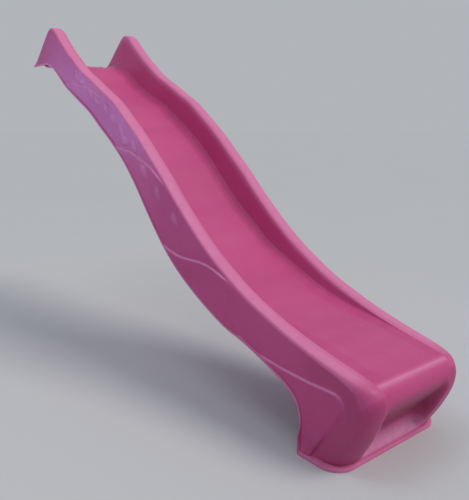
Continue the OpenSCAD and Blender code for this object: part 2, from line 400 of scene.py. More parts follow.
@dataclass
class FlankRelief:
    """Wave-shaped ledges, leaves and the foot's plateau, raised on both flanks. Sizes in millimetres.

    A wave or the plateau's outline is a line of x and z. A leaf is its middle's x and z, its lean in degrees
    and its length.
    """

    height: float = 8.0
    ramp: float = 4.0
    fade: float = 120.0
    run_out: float = 190.0
    leaf_height: float = 2.0
    waves: tuple[Line, ...] = (
        ((330, -128), (401, -121), (464, -129), (546, -142), (605, -151), (661, -168), (716, -193),
         (760, -214), (830, -250), (900, -290)),
        ((800, -424), (865, -437), (929, -454), (1027, -468), (1088, -487), (1152, -509), (1207, -531),
         (1246, -553), (1300, -590), (1360, -640), (1430, -700)),
        ((1235, -835), (1285, -862), (1326, -879), (1367, -893), (1408, -902), (1447, -908), (1524, -909),
         (1597, -909), (1667, -919), (1734, -939), (1790, -958), (1860, -990), (1930, -1022)),
    )  # fmt: skip
    plateau: Line = (
        (1840, -1152), (1885, -1172), (1927, -1188), (1986, -1202), (2042, -1208), (2096, -1214),
        (2148, -1217), (2198, -1220), (2246, -1222), (2293, -1221), (2338, -1221), (2364, -1226),
        (2382, -1238), (2390, -1258), (2388, -1281), (2370, -1311), (2352, -1339), (2323, -1385),
        (2292, -1433), (2262, -1488), (2245, -1520),
    )  # fmt: skip
    leaves: tuple[tuple[float, float, float, float], ...] = (
        (478, -84, -52, 60), (540, -118, -8, 62), (655, -188, -60, 64), (722, -226, -20, 70),
        (806, -268, -75, 66), (881, -318, -28, 84), (950, -372, -70, 78), (985, -420, -12, 84),
        (1065, -446, -62, 74), (1165, -560, -48, 82), (1275, -650, -70, 76), (1400, -752, -50, 72),
    )  # fmt: skip

    @staticmethod
    def smooth(line: Line, steps: int = 6) -> np.ndarray:
        """Points on a smooth curve through a line's own points."""
        p = np.array(line, float)
        return np.array([*(spot for i in range(len(p) - 1) for spot in spline(p, i, steps)), p[-1]])

    @staticmethod
    def side(points: np.ndarray, line: np.ndarray) -> tuple[np.ndarray, np.ndarray]:
        """How far points lie below a line that runs downhill.

        Args:
            points: Points on the flank, x and z.
            line: The line's points in order.

        Returns:
            The distance, above zero on the lower side, and the place along the line from 0 to 1.
        """
        a, b = line[:-1], line[1:]
        ab = b - a
        rel = points[:, None, :] - a[None]
        t = np.clip((rel * ab).sum(-1) / (ab**2).sum(-1), 0, 1)
        off = rel - t[..., None] * ab
        near = (off**2).sum(-1)
        best = near.argmin(1)
        pick = np.arange(len(points))
        cross = ab[best, 0] * rel[pick, best, 1] - ab[best, 1] * rel[pick, best, 0]
        return np.where(cross < 0, 1, -1) * np.sqrt(near[pick, best]), (best + t[pick, best]) / len(a)

    def lines(self) -> list[np.ndarray]:
        """The crests that a mesh should be finest at, the plateau's last."""
        return [self.smooth(line) for line in (*self.waves, self.plateau)]

    def leaf(self, points: np.ndarray, x: float, z: float, turn: float, length: float) -> np.ndarray:
        """One plain pointed leaf with a sunk midrib.

        Args:
            points: Points on the flank, x and z.
            x: Middle of the leaf.
            z: Middle of the leaf.
            turn: Lean of the leaf in degrees.
            length: Length of the leaf.

        Returns:
            Height of the leaf at each point.
        """
        c, s = math.cos(math.radians(turn)), math.sin(math.radians(turn))
        rel = points - (x, z)
        along = (rel[:, 0] * c + rel[:, 1] * s) / length + 0.5
        across = (-rel[:, 0] * s + rel[:, 1] * c) / length
        width = 0.24 * np.sin(math.pi * np.clip(along, 0, 1) ** 0.8) ** 0.9 + 1e-4
        edge = soft_step((1.15 - np.abs(across) / width) / 0.5) * (along > 0) * (along < 1)
        return self.leaf_height * edge * (1 - 0.75 * hill(across, 0.035))

    def left(self, points: np.ndarray, line: np.ndarray) -> np.ndarray:
        """What is left of a wave downhill of each point, in run-out lengths."""
        return (line[-1, 0] - points[:, 0]) / self.run_out

    def crest(self, points: np.ndarray) -> np.ndarray:
        """How much each point belongs to a ledge's top edge or a leaf's outline, from 0 to 1."""
        total = np.zeros(len(points))
        for n, line in enumerate(self.lines()):
            down, place = self.side(points, line)
            left = (0.74 - place) / 0.09 if n == len(self.waves) else self.left(points, line)
            ends = soft_step(place / 0.04) * soft_step(left)
            total = np.maximum(total, hill(down - 1.6, 3.0) * ends)
        for leaf in self.leaves:
            total = np.maximum(total, 0.35 * self.leaf(points, *leaf) / self.leaf_height)
        return total

    def raised(self, points: np.ndarray) -> np.ndarray:
        """Height of the relief over the plain flank at each point."""
        total = np.zeros(len(points))
        *waves, plateau = self.lines()
        for line in waves:
            down, _ = self.side(points, line)
            ends = soft_step(self.left(points, line))
            ledge = self.height * soft_step(down / self.ramp) * hill(down, self.fade) * ends
            total = np.maximum(total, ledge)
        down, _ = self.side(points, plateau)
        total = np.maximum(total, self.height * soft_step(down / self.ramp))
        for leaf in self.leaves:
            total = total + self.leaf(points, *leaf)
        return total


@dataclass
class FootScoop:
    """The hollow in the foot's front face, between two ridges, that sweeps out to the toe. In millimetres.

    The sweep is the share of the full depth at each share of the way down.
    """

    top: float = -1236.0
    toe: float = -1482.0
    deep: float = 58.0
    half_top: float = 200.0
    half_toe: float = 178.0
    ridge: float = 20.0
    round_r: float = 70.0
    sweep: Line = (
        (0, 0), (0.08, 0.1), (0.2, 0.3), (0.34, 0.58), (0.48, 0.82), (0.6, 0.97), (0.72, 1), (0.8, 0.88),
        (0.88, 0.57), (0.95, 0.22), (1, 0),
    )  # fmt: skip

    def span(self, z: np.ndarray) -> tuple[np.ndarray, np.ndarray]:
        """Share of the way down the hollow at each height, and the hollow's half width there."""
        share = np.clip((self.top - z) / (self.top - self.toe), 0, 1)
        return share, self.half_top + (self.half_toe - self.half_top) * share

    def lightened(self, y: np.ndarray, z: np.ndarray) -> np.ndarray:
        """Painted highlight in the hollow at each point: most on its side ridges and on the toe, from 0 to 1.
        """
        share, half = self.span(z)
        ridge = hill(half + 3 - np.abs(y), 6.0) * np.clip((share - 0.25) / 0.2, 0, 1)
        toe = np.clip((share - 0.74) / 0.16, 0, 1) * (np.abs(y) < half)
        return np.maximum(0.8 * ridge, 0.95 * toe)

    def depth(self, y: np.ndarray, z: np.ndarray) -> np.ndarray:
        """How far back the face lies at each point.

        Args:
            y: Place across the slide.
            z: Height over the deck.

        Returns:
            The depth at each point.
        """
        share, half = self.span(z)
        corner = np.clip(1 - (self.top - z) / self.round_r, 0, 1)
        half = half - self.round_r * (1 - np.sqrt(1 - corner**2))
        return self.deep * np.interp(share, *zip(*self.sweep)) * soft_step((half - np.abs(y)) / self.ridge)


@dataclass
class Moulding:
    """The one-piece chute: bed, side strips, walls, rims, flanks and foot. Sizes in millimetres."""

    lines: ChuteLines = field(default_factory=ChuteLines)
    relief: FlankRelief = field(default_factory=FlankRelief)
    scoop: FootScoop = field(default_factory=FootScoop)
    bed_n: int = 5
    strip_n: int = 5
    corner_n: int = 4
    wall_n: int = 4
    inner_n: int = 5
    top_n: int = 3
    outer_n: int = 6
    flank_n: int = 34
    flare: float = 17.0
    flare_h: float = 60.0
    flare_x: float = 2330.0
    nose_x: float = 2380.0
    # x of the painted highlight line along the nose's top edge.
    nose_edge_x: float = 2466.0
    nose_z: float = -1205.0

    def flank_rows(self, s: np.ndarray, f: np.ndarray, low: np.ndarray, high: np.ndarray) -> np.ndarray:
        """Distances down the flank for each station, closest together at the relief's lines.

        Args:
            s: Stations.
            f: Direction down the flank at each station.
            low: Distance at which the flank starts.
            high: Distance at which it ends.

        Returns:
            One row of distances for each station.
        """
        spread = low[:, None] + (high - low)[:, None] * np.linspace(0, 1, 241)
        density = np.ones_like(spread)
        for line in self.relief.lines():
            for i in range(len(s)):
                rel = line - s[i, :2]
                side = rel[:, 0] * f[i, 1] - rel[:, 1] * f[i, 0]
                for h in np.nonzero(side[:-1] * side[1:] < 0)[0]:
                    t = side[h] / (side[h] - side[h + 1])
                    at = (rel[h] * (1 - t) + rel[h + 1] * t) @ f[i]
                    density[i] += 5.0 * hill(spread[i] - at - 4, 11.0)
        for _ in range(3):
            padded = np.pad(density, ((1, 1), (0, 0)), mode="edge")
            density = sum(k * padded[n : n + len(s)] for n, k in enumerate((0.25, 0.5, 0.25)))
        summed = np.cumsum(density, axis=1)
        summed = (summed - summed[:, :1]) / (summed[:, -1:] - summed[:, :1])
        want = np.linspace(0, 1, self.flank_n + 1)[1:]
        return np.array([np.interp(want, summed[i], spread[i]) for i in range(len(s))])

    def half_section(self, s: np.ndarray) -> tuple[np.ndarray, np.ndarray, np.ndarray]:
        """Half of each section, from the middle of the bed to the lower edge.

        Args:
            s: Stations.

        Returns:
            Distance across and below the rim for each station and point, and the direction down the flank.
        """
        c = self.lines
        v = s[:, 2:4] - s[:, :2]
        length = np.hypot(v[:, 0], v[:, 1])
        f = v / length[:, None]
        depth, half, low = s[:, 4], s[:, 6], s[:, 7]
        corner = np.minimum(s[:, 5], length - c.bead_h - 4)
        k = np.minimum(1, depth / 70)
        top = half - np.maximum(c.rim_w, corner + c.rim_in_r + 6)
        foot = top - depth * math.tan(math.radians(c.wall_draft)) - c.rim_in_r
        out = half + (length - corner) * math.tan(math.radians(c.flank_draft))
        across, below = [], []

        def add(y: np.ndarray, b: np.ndarray) -> None:
            """Add one point of every section."""
            across.append(y)
            below.append(b)

        for t in np.linspace(0, 1, self.bed_n + 1)[:-1]:
            add(t * (foot - c.strip_w), depth)
        for t in np.linspace(0, 1, self.strip_n + 1):
            add(foot - c.strip_w * (1 - t), depth - c.strip_rise * k * t * t)
        for a in np.radians(np.linspace(20, 84, self.corner_n)):
            rise = c.strip_rise + c.rim_in_r * (1 - math.cos(a))
            add(foot + 0.9 * c.rim_in_r * math.sin(a), depth - k * rise)
        start_y, start_b = across[-1], below[-1]
        for t in np.linspace(0, 1, self.wall_n + 2)[1:-1]:
            add(start_y + (top - start_y) * t, start_b + (k * c.rim_in_r - start_b) * t)
        for a in np.radians(np.linspace(0, 90, self.inner_n)):
            add(top + c.rim_in_r * (1 - math.cos(a)), k * c.rim_in_r * (1 - math.sin(a)))
        for t in np.linspace(0, 1, self.top_n + 1)[1:-1]:
            add(top + c.rim_in_r + (half - corner - top - c.rim_in_r) * t, -0.6 * np.sin(math.pi * t) * k)
        for a in np.radians(np.linspace(90, 0, self.outer_n + 1)):
            add(half - corner * (1 - math.cos(a)), corner * (1 - math.sin(a)))
        self.flank_from = len(across)
        end = length - c.bead_h - 2
        for down in self.flank_rows(s, f, corner, end).T:
            add(half + (down - corner) / (end - corner) * (out - half), down)
        self.flank_to = len(across)
        add(low, length - c.bead_h + 1)
        add(low, length)
        return np.array(across).T, np.array(below).T, f

    def place(self) -> tuple[np.ndarray, np.ndarray, dict[str, np.ndarray]]:
        """Points of the outer skin.

        Returns:
            Points in metres by station and place across, distance along and across as a map, and the named
            values that the finish reads.
        """
        s = self.lines.stations()
        across, below, f = self.half_section(s)
        x = s[:, 0, None] + f[:, 0, None] * below
        z = s[:, 1, None] + f[:, 1, None] * below
        a, b = self.flank_from - 1, self.flank_to
        part = np.stack([x, z], -1)[:, a:b].reshape(-1, 2)
        fade = soft_step((below[:, a:b] - below[:, a - 1 : a]) / 14.0)
        fade = fade * soft_step((below[:, b : b + 1] - below[:, a:b]) / 6.0)
        # The relief's crests, which the finish lightens as a painted highlight along the ledges' top edges
        # and the leaves' outlines.
        crest = np.zeros_like(across)
        crest[:, a:b] = self.relief.crest(part).reshape(len(s), -1) * fade
        across[:, a:b] += self.relief.raised(part).reshape(len(s), -1) * fade
        flare = self.flare * soft_step(1 - (z[:, a:] - GROUND) / self.flare_h) ** 2
        across[:, a:] += flare * soft_step((self.flare_x - x[:, a:]) / 110)
        front = (s[:, 0] > self.nose_x) & (s[:, 1] < self.nose_z)
        sunk = self.scoop.depth(across, z) * front[:, None]
        sunk[:, self.flank_from :] = 0
        x = x - sunk
        run = np.cumsum(np.hypot(*np.diff(s[:, :2], axis=0, prepend=s[:1, :2]).T)) * MM
        sideways = np.diff(across, axis=1, prepend=0)
        girth = np.cumsum(np.hypot(sideways, np.diff(below, axis=1, prepend=below[:, :1])), axis=1)
        points = np.stack([mirrored(x), mirrored(across, -1), mirrored(z)], -1) * MM
        chart = np.stack([np.broadcast_to(run[:, None], points.shape[:2]), mirrored(girth, -1) * MM], -1)
        column = np.arange(across.shape[1])
        values = {
            "wear": self.wear(s, across, z, crest),
            "grime": np.clip((-1150 - z) / 350, 0, 1),
            "shade": self.shade(s, part, z, sunk),
            "slide": np.broadcast_to(column < self.bed_n + self.strip_n + 2, across.shape) * 1.0,
        }
        return points, chart, {key: mirrored(value) for key, value in values.items()}

    def shade(self, s: np.ndarray, part: np.ndarray, z: np.ndarray, sunk: np.ndarray) -> np.ndarray:
        """How dark the colour is: most in the hollow, and some round the foot's front corners.

        Args:
            s: Stations.
            part: Points on the flank, x and z.
            z: Height of every point.
            sunk: How far every point lies back in the hollow.

        Returns:
            The value at every point, from 0 to 1.
        """
        shade = np.clip(sunk / (0.6 * self.scoop.deep), 0, 1) * np.clip((z + 1430) / 40, 0, 1)
        outside, _ = self.relief.side(part, self.relief.lines()[-1])
        beyond = soft_step(-outside / 25) * soft_step((part[:, 0] - 2120) / 200)
        flank = slice(self.flank_from - 1, self.flank_to)
        shade[:, flank] = np.maximum(shade[:, flank], 0.5 * beyond.reshape(len(s), -1))
        turned = np.clip(soft_step((s[:, 0] - 2490) / 10) + (s[:, 1] < self.nose_z - 20), 0, 1)
        corner = np.arange(z.shape[1]) > self.flank_from - self.outer_n - 2
        return np.maximum(shade, 0.45 * turned[:, None] * corner)

    def wear(self, s: np.ndarray, across: np.ndarray, z: np.ndarray, crest: np.ndarray) -> np.ndarray:
        """How pale the surface is: wear on the bed's middle, wear and painted highlight on the rims, and
        painted highlights on the crests, lip end, nose edge and hollow.

        Args:
            s: Stations.
            across: Place of every point across the slide.
            z: Height of every point.
            crest: How much every point belongs to a crest of the relief.

        Returns:
            The value at every point, from 0 to 1.
        """
        column = np.arange(across.shape[1])
        front = (s[:, 1] < self.nose_z)[:, None]
        inner = self.bed_n + self.strip_n + 1 + self.corner_n + self.wall_n
        # Across each section: a little wear on the bed's middle; on the rims and the lower edge, wear and a
        # painted highlight together.
        line = np.zeros(across.shape[1])
        line[: self.bed_n + 2] = 0.08
        line[inner : inner + self.inner_n] = 0.5
        line[inner + self.inner_n : self.flank_from - 4] = 0.7
        line[self.flank_from - 4 : self.flank_from - 1] = 0.4
        line[-2:] = 0.6
        # The relief's crests get a painted highlight here.
        wear = np.maximum(line, crest) * (1 - 0.8 * soft_step((s[:, 0] - self.nose_x) / 110))[:, None]
        wear = np.where(front, crest, wear)
        # Painted reflection along the lip's end, where the bed meets the deck.
        lip = np.clip((70 - s[:, 0]) / 50, 0, 0.9)[:, None] * (column < self.bed_n + self.strip_n + 3)
        # Painted highlight line along the nose's top edge.
        edge = 0.8 * hill(s[:, 0] - self.nose_edge_x, 8.0)[:, None] * (s[:, 1] > self.nose_z)[:, None]
        edge = edge * soft_step((215 - np.abs(across)) / 30)
        # Painted highlights on the hollow's side ridges and toe.
        hollow = self.scoop.lightened(across, z) * (front & (s[:, 0] > self.nose_x)[:, None])
        return np.maximum.reduce([wear, lip, edge, hollow * (column < self.flank_from)])

    def build(self) -> Piece:
        """Build the skin from a plain grid, then give it its wall.

        Returns:
            The finished piece.
        """
        points, chart, values = self.place()
        self.skin = points
        bm = bmesh.new()
        uv = bm.loops.layers.uv.new("skin")
        for key in values:
            bm.verts.layers.float.new(key)
        layers = {bm.verts.layers.float[key]: value for key, value in values.items()}
        spots = {vert: (i, j) for vert, i, j in grid(bm, points.shape[1], points.shape[0])}
        for vert, spot in spots.items():
            vert.co = points[spot]
            for layer, value in layers.items():
                vert[layer] = float(value[spot])
        for face in bm.faces:
            for loop in face.loops:
                loop[uv].uv = chart[spots[loop.vert]]
        bmesh.ops.recalc_face_normals(bm, faces=bm.faces[:])
        middle = min(bm.faces, key=lambda q: (q.calc_center_median() - Vector((1.0, 0.0, -0.45))).length)
        if middle.normal.z < 0:
            bmesh.ops.reverse_faces(bm, faces=bm.faces[:])
        bmesh.ops.solidify(bm, geom=bm.faces[:], thickness=self.lines.wall * MM)
        self.flange(bm)
        for side in (-1, 1):
            self.lug(bm, side)
        return finish_mesh(bm, "moulding", 42.0)

    def flange(self, bm: BMesh) -> None:
        """Run the flange round the foot's lower edge, from one rear corner to the other."""
        c = self.lines
        front, back, r, turn = 2403.0, 2207.0, c.foot_r + 8, 16.0
        path = []

        def bend(x: float, y: float, radius: float, start: float, end: float, n: int) -> None:
            """Add an arc of the plan outline, given its middle, radius and angles in degrees."""
            for a in np.radians(np.linspace(start, end, n)):
                path.append((x + radius * math.cos(a), y + radius * math.sin(a), math.cos(a), math.sin(a)))

        bend(back + turn, c.flange - turn, turn, 180, 90, 7)
        bend(front - r, c.flange - r, r, 90, 0, 25)
        path += [(front, y, 1.0, 0.0) for y in np.linspace(c.flange - r, -c.flange + r, 20)[1:-1]]
        bend(front - r, -c.flange + r, r, 0, -90, 25)
        bend(back + turn, -c.flange + turn, turn, -90, -180, 7)
        band = [(22, 0), (1.2, 0), (0, 1), (0, 11), (0.5, 12.4), (1.8, 13.4), (4, 13.9)]
        band += [(14, 14.6), (22, 14.8)]
        pale_tone = bm.verts.layers.float["wear"]
        before = set(bm.verts)
        for vert, j, i in grid(bm, len(path), len(band) + 1):
            x, y, out_x, out_y = path[i]
            inward, height = band[j % len(band)]
            # A middling paleness on the flange: partly wear, partly a painted highlight on the band.
            vert[pale_tone] = 0.55
            vert.co = Vector((x - out_x * inward, y - out_y * inward, GROUND + height)) * MM
        settle(bm, before)

    def lug(self, bm: BMesh, side: int) -> None:
        """Add a lug inside the foot, from the front wall back to the anchor's bolts.

        Args:
            bm: The moulding's bmesh.
            side: 1 for the left lug and -1 for the right one.
        """
        fix = AnchorFix()
        middle = side * fix.lug_y
        top = GROUND + fix.lug_h
        column = int(np.argmin(np.abs(self.skin[-30, :, 1] / MM - middle)))
        wall = self.skin[:, column] / MM
        wall = wall[(wall[:, 2] < top) & (wall[:, 0] > 2340)]
        back = fix.lug_x
        outline = [(back, GROUND), (back, top - 12), (back + 4, top - 4), (back + 12, top)]
        outline += [(x - 2.5, z) for x, _, z in wall[:: max(len(wall) // 8, 1)]]
        outline += [(wall[-1][0] - 2.5, GROUND)]
        holes = [(fix.bolt_x, z, 4.5) for z in fix.bolt_z]
        plate(bm, outline, holes, fix.lug_t, middle - fix.lug_t / 2, 0.8)


# ---------------------------------------------------------------- shapes


def grid(bm: BMesh, columns: int, rows: int) -> list[tuple[bmesh.types.BMVert, int, int]]:
    """Add a flat grid that is then shaped by moving its vertices.

    Args:
        bm: The bmesh to add to.
        columns: Vertices along each row.
        rows: Number of rows.

    Returns:
        Each new vertex with its row and its column.
    """
    before = set(bm.verts)
    bmesh.ops.create_grid(bm, x_segments=columns - 1, y_segments=rows - 1, size=1.0)
    fresh = [v for v in bm.verts if v not in before]
    return [
        (v, round((v.co.y + 1) / 2 * (rows - 1)), round((v.co.x + 1) / 2 * (columns - 1))) for v in fresh
    ]


def settle(bm: BMesh, before: set[bmesh.types.BMVert], place: Matrix | None = None) -> None:
    """Weld, close and face outward everything added since a moment, then put it in place.

    Args:
        bm: The bmesh.
        before: The vertices that were there already.
        place: Where the new shape goes.
    """
    bmesh.ops.remove_doubles(bm, verts=[v for v in bm.verts if v not in before], dist=2e-6)
    rims = [e for e in bm.edges if e.is_boundary and e.verts[0] not in before]
    if rims:
        bmesh.ops.holes_fill(bm, edges=rims, sides=0)
    bmesh.ops.recalc_face_normals(bm, faces=[f for f in bm.faces if f.verts[0] not in before])
    if place is not None:
        bmesh.ops.transform(bm, matrix=place, verts=[v for v in bm.verts if v not in before])


def lathe(
    bm: BMesh, profile: list[tuple[float, float]], place: Matrix, closed: bool = False, steps: int = 48
) -> None:
    """Spin a profile round the local Z axis.

    Args:
        bm: The bmesh to add to.
        profile: Radius and height of each profile point in millimetres.
        place: Where the shape goes.
        closed: Join the last profile point to the first, for a ring.
        steps: Facets round the axis.
    """
    before = set(bm.verts)
    verts = [bm.verts.new((r * MM, 0, z * MM)) for r, z in profile]
    pairs = list(zip(verts, verts[1:])) + ([(verts[-1], verts[0])] if closed else [])
    edges = [bm.edges.new(pair) for pair in pairs]
    bmesh.ops.spin(bm, geom=verts + edges, axis=(0, 0, 1), angle=2 * math.pi, steps=steps, use_merge=True)
    settle(bm, before, place)


def thread(
    bm: BMesh, crest: float, root: float, pitch: float, top: float, bottom: float, place: Matrix
) -> None:
    """Wind a thread's ridge down the local Z axis.

    Args:
        bm: The bmesh to add to.
        crest: Outer radius in millimetres.
        root: Radius of the core.
        pitch: Drop in one turn.
        top: Height at which the thread starts.
        bottom: Height at which it ends.
        place: Where the shape goes.
    """
    before = set(bm.verts)
    steps = 18
    turns = (top - bottom) / pitch - 1
    shape = [(root - 0.15, 0.4), (crest, 0.07), (crest, -0.07), (root - 0.15, -0.4)]
    verts = [bm.verts.new((r * MM, 0, (top - pitch / 2 + share * pitch) * MM)) for r, share in shape]
    edges = [bm.edges.new(pair) for pair in zip(verts, verts[1:] + verts[:1])]
    drop = (0, 0, -pitch / steps * MM)
    count, angle = round(steps * turns), 2 * math.pi * turns
    bmesh.ops.spin(bm, geom=verts + edges, axis=(0, 0, 1), dvec=drop, angle=angle, steps=count)
    settle(bm, before, place)


def plate(
    bm: BMesh,
    outline: list[tuple[float, float]],
    holes: list[tuple[float, float, float]],
    thickness: float,
    start: float,
    edge: float,
    along_x: bool = False,
) -> None:
    """Add an upright plate with round holes.

    Args:
        bm: The bmesh to add to.
        outline: The plate's outline as x and z, or y and z, in millimetres.
        holes: Middle and radius of each hole.
        thickness: The plate's thickness.
        start: Place of its first face, on the axis it is thick along.
        edge: Size of the rounded edges.
        along_x: The plate is thick along x, and its outline is in y and z.
    """
    before = set(bm.verts)

    def spot(u: float, v: float) -> tuple[float, float, float]:
        """Place of an outline point on the plate's first face."""
        return (start * MM, u * MM, v * MM) if along_x else (u * MM, start * MM, v * MM)

    loops = [outline]
    turns = np.linspace(0, 2 * math.pi, 29)[:-1]
    for u, v, r in holes:
        loops.append([(u + r * math.cos(a), v + r * math.sin(a)) for a in turns])
    edges = []
    for loop in loops:
        verts = [bm.verts.new(spot(u, v)) for u, v in loop]
        edges += [bm.edges.new(pair) for pair in zip(verts, verts[1:] + verts[:1])]
    rim = edges[: len(outline)]
    filled = bmesh.ops.triangle_fill(bm, use_beauty=True, edges=edges)
    faces = [g for g in filled["geom"] if isinstance(g, bmesh.types.BMFace)]
    grown = bmesh.ops.extrude_face_region(bm, geom=faces, use_keep_orig=True)["geom"]
    far = [g for g in grown if isinstance(g, bmesh.types.BMVert)]
    shift = Vector((thickness, 0, 0) if along_x else (0, thickness, 0)) * MM
    bmesh.ops.translate(bm, verts=far, vec=shift)
    rim += [g for g in grown if isinstance(g, bmesh.types.BMEdge) and outer_edge(g, holes, along_x)]
    bmesh.ops.recalc_face_normals(bm, faces=[f for f in bm.faces if f.verts[0] not in before])
    rim = [e for e in rim if e.is_valid and len(e.link_faces) == 2 and e.calc_face_angle(0) > 0.7]
    bmesh.ops.bevel(bm, geom=rim, offset=edge * MM, segments=3, affect="EDGES", profile=0.5, material=-1)
    settle(bm, before)


def outer_edge(edge: bmesh.types.BMEdge, holes: list[tuple[float, float, float]], along_x: bool) -> bool:
    """Whether an edge lies clear of every hole's rim."""
    middle = (edge.verts[0].co + edge.verts[1].co) / 2 / MM
    u, v = (middle.y if along_x else middle.x), middle.z
    return all(math.hypot(u - a, v - b) > r + 1 for a, b, r in holes)


def hexagon(bm: BMesh, radius: float, low: float, high: float, place: Matrix, hole: float = 0.0) -> None:
    """Add a hexagonal head or nut with chamfered ends.

    Args:
        bm: The bmesh to add to.
        radius: Radius over the corners in millimetres.
        low: Height of its underside.
        high: Height of its top.
        place: Where the shape goes.
        hole: Radius of its bore, or 0 for a solid head.
    """
    before = set(bm.verts)
    flat = radius * math.cos(math.pi / 6)
    rings = [(flat - 0.3, low), (radius, low + 0.55), (radius, high - 0.9), (flat - 0.2, high)]
    for r, z in rings:
        bmesh.ops.create_circle(bm, segments=6, radius=r * MM, matrix=Matrix.Translation((0, 0, z * MM)))
    made = [v for v in bm.verts if v not in before]
    for a in range(0, 18, 6):
        pair = made[a : a + 12]
        bands = [e for v in pair for e in v.link_edges if e.other_vert(v) in pair and flat_edge(e)]
        bmesh.ops.bridge_loops(bm, edges=list(dict.fromkeys(bands)))
    if hole:
        for z, corners in ((low, made[:6]), (high, made[-6:])):
            level = Matrix.Translation((0, 0, z * MM))
            inner = bmesh.ops.create_circle(bm, segments=24, radius=hole * MM, matrix=level)
            loop = [e for v in corners for e in v.link_edges if flat_edge(e) and e.other_vert(v) in corners]
            loop += [e for v in inner["verts"] for e in v.link_edges]
            bmesh.ops.bridge_loops(bm, edges=list(dict.fromkeys(loop)))
        bores = [v for v in bm.verts if v not in before and v not in made]
        rims = [e for v in bores for e in v.link_edges if e.is_boundary]
        bmesh.ops.bridge_loops(bm, edges=list(dict.fromkeys(rims)))
    settle(bm, before, place)


def flat_edge(edge: bmesh.types.BMEdge) -> bool:
    """Whether an edge lies level in its own frame."""
    return abs(edge.verts[0].co.z - edge.verts[1].co.z) < 1e-7


def ring(bm: BMesh, bore: float, radius: float, low: float, high: float, edge: float, place: Matrix) -> None:
    """Add a flat washer.

    Args:
        bm: The bmesh to add to.
        bore: Radius of the hole in millimetres.
        radius: Outer radius.
        low: Height of its underside.
        high: Height of its top.
        edge: Size of its softened edges.
        place: Where it goes.
    """
    profile = [
        (bore, low + edge), (bore + edge, low), (radius - edge, low), (radius, low + edge),
        (radius, high - edge), (radius - edge, high), (bore + edge, high), (bore, high - edge),
    ]  # fmt: skip
    lathe(bm, profile, place, closed=True)


def finish_mesh(bm: BMesh, name: str, sharp: float = 35.0) -> Piece:
    """Turn a bmesh into a smooth-shaded piece in the scene.

    Args:
        bm: The bmesh, which is freed.
        name: The piece's name.
        sharp: Faces that meet at more than this angle in degrees show an edge.

    Returns:
        The new object.
    """
    mesh = bpy.data.meshes.new(name)
    bm.to_mesh(mesh)
    bm.free()
    mesh.polygons.foreach_set("use_smooth", [True] * len(mesh.polygons))
    mesh.set_sharp_from_angle(angle=math.radians(sharp))
    piece = bpy.data.objects.new(name, mesh)
    bpy.context.scene.collection.objects.link(piece)
    return piece


def dress(piece: Piece, material: bpy.types.Material) -> None:
    """Give a piece its one material.

    Args:
        piece: The piece.
        material: Its finish.
    """
    piece.data.materials.clear()
    piece.data.materials.append(material)


# ---------------------------------------------------------------- the deck fixing


